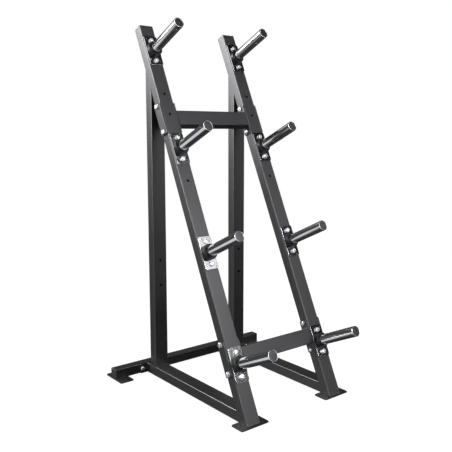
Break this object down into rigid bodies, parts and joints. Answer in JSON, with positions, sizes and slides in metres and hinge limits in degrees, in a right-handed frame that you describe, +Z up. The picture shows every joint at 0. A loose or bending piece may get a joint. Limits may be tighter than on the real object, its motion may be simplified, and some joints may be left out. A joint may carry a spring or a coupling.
{
  "type": "weight storage rack",
  "caption": "Free-standing A-frame rack of bolted rectangular tube, with leaning posts that carry chromed pegs with rubber collars for storing weight plates.",
  "frame": {"origin": "on the floor, under the middle of the rack's overall box", "axes": "+Z up, -Y to the front, the way the pegs point, and +X to the right when facing the rack's front"},
  "size_m": [0.952, 1.0404, 1.7622],
  "materials": {
    "powder_coat": "satin charcoal powder coat",
    "chromed_steel": "bright chrome plate",
    "zinc_fastener": "bright zinc plate",
    "collar_rubber": "matte black rubber",
    "cap_plastic": "black moulded plastic"
  },
  "bodies": {
    "root": {"backing_plate_lower_left": "powder_coat", "backing_plate_lower_right": "powder_coat", "backing_plate_upper_left": "powder_coat", "backing_plate_upper_right": "powder_coat", "crossbar_cap_left": "cap_plastic", "crossbar_cap_right": "cap_plastic", "crossmember_lower": "powder_coat", "crossmember_upper": "powder_coat", "end_flange_lower_left": "powder_coat", "end_flange_lower_right": "powder_coat", "end_flange_upper_left": "powder_coat", "end_flange_upper_right": "powder_coat", "floor_beam_left": "powder_coat", "floor_beam_right": "powder_coat", "frame_bolt_lower_left_high": "zinc_fastener", "frame_bolt_lower_left_low": "zinc_fastener", "frame_bolt_lower_right_high": "zinc_fastener", "frame_bolt_lower_right_low": "zinc_fastener", "frame_bolt_upper_left_high": "zinc_fastener", "frame_bolt_upper_left_low": "zinc_fastener", "frame_bolt_upper_right_high": "zinc_fastener", "frame_bolt_upper_right_low": "zinc_fastener", "front_foot_left": "powder_coat", "front_foot_right": "powder_coat", "peg_collar_left_1": "collar_rubber", "peg_collar_left_2": "collar_rubber", "peg_collar_left_3": "collar_rubber", "peg_collar_left_4": "collar_rubber", "peg_collar_right_1": "collar_rubber", "peg_collar_right_2": "collar_rubber", "peg_collar_right_3": "collar_rubber", "peg_collar_right_4": "collar_rubber", "peg_plate_left_1": "chromed_steel", "peg_plate_left_2": "chromed_steel", "peg_plate_left_3": "chromed_steel", "peg_plate_left_4": "chromed_steel", "peg_plate_right_1": "chromed_steel", "peg_plate_right_2": "chromed_steel", "peg_plate_right_3": "chromed_steel", "peg_plate_right_4": "chromed_steel", "peg_tube_left_1": "chromed_steel", "peg_tube_left_2": "chromed_steel", "peg_tube_left_3": "chromed_steel", "peg_tube_left_4": "chromed_steel", "peg_tube_right_1": "chromed_steel", "peg_tube_right_2": "chromed_steel", "peg_tube_right_3": "chromed_steel", "peg_tube_right_4": "chromed_steel", "post_cap_left": "cap_plastic", "post_cap_right": "cap_plastic", "rear_crossbar": "powder_coat", "rear_flange_left": "powder_coat", "rear_flange_right": "powder_coat", "rear_foot_left": "powder_coat", "rear_foot_right": "powder_coat", "rear_upright_left": "powder_coat", "rear_upright_right": "powder_coat", "slanted_post_left": "powder_coat", "slanted_post_right": "powder_coat"}
  },
  "joints": []
}
